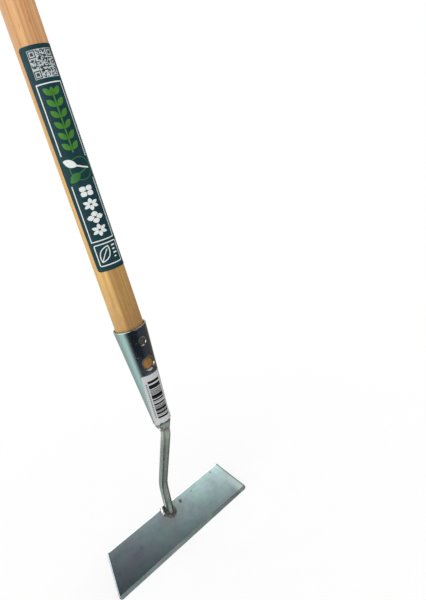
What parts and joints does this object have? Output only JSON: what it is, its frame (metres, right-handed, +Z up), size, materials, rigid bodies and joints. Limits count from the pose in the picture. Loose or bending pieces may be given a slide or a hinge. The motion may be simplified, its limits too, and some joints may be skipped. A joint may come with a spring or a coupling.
{
  "type": "draw hoe",
  "caption": "Long-handled garden hoe: a flat trapezoid steel blade on a bent round neck, a conical sheet socket, a straight wooden shaft and an off-centre wooden T-grip.",
  "frame": {"origin": "on the ground under the middle of the T-grip, at the level of the cutting edge, with the shaft upright and its axis 70 mm in front at Y = -0.070", "axes": "+Z up along the shaft, X along the blade's width, -Y is the front, which the blade's upper face, the label and the sticker look to"},
  "size_m": [0.1956, 0.3, 1.8721],
  "materials": {
    "blade_steel": "dull galvanised sheet with a ground edge",
    "zinc_steel": "bright zinc plate, semi-gloss",
    "weld_steel": "rough weld bead under zinc",
    "screw_steel": "polished zinc plate",
    "handle_wood": "sanded, thinly waxed",
    "wedge_wood": "sawn hardwood",
    "label_paper": "printed, satin coated",
    "sticker_paper": "matt coated"
  },
  "bodies": {
    "root": {"blade": "blade_steel", "neck_rod": "zinc_steel", "blade_weld": "weld_steel", "socket": "zinc_steel", "socket_weld": "weld_steel", "socket_screw": "screw_steel", "shaft": "handle_wood", "t_grip": "handle_wood", "tenon_wedge": "wedge_wood", "handle_label": "label_paper", "barcode_sticker": "sticker_paper"}
  },
  "joints": []
}
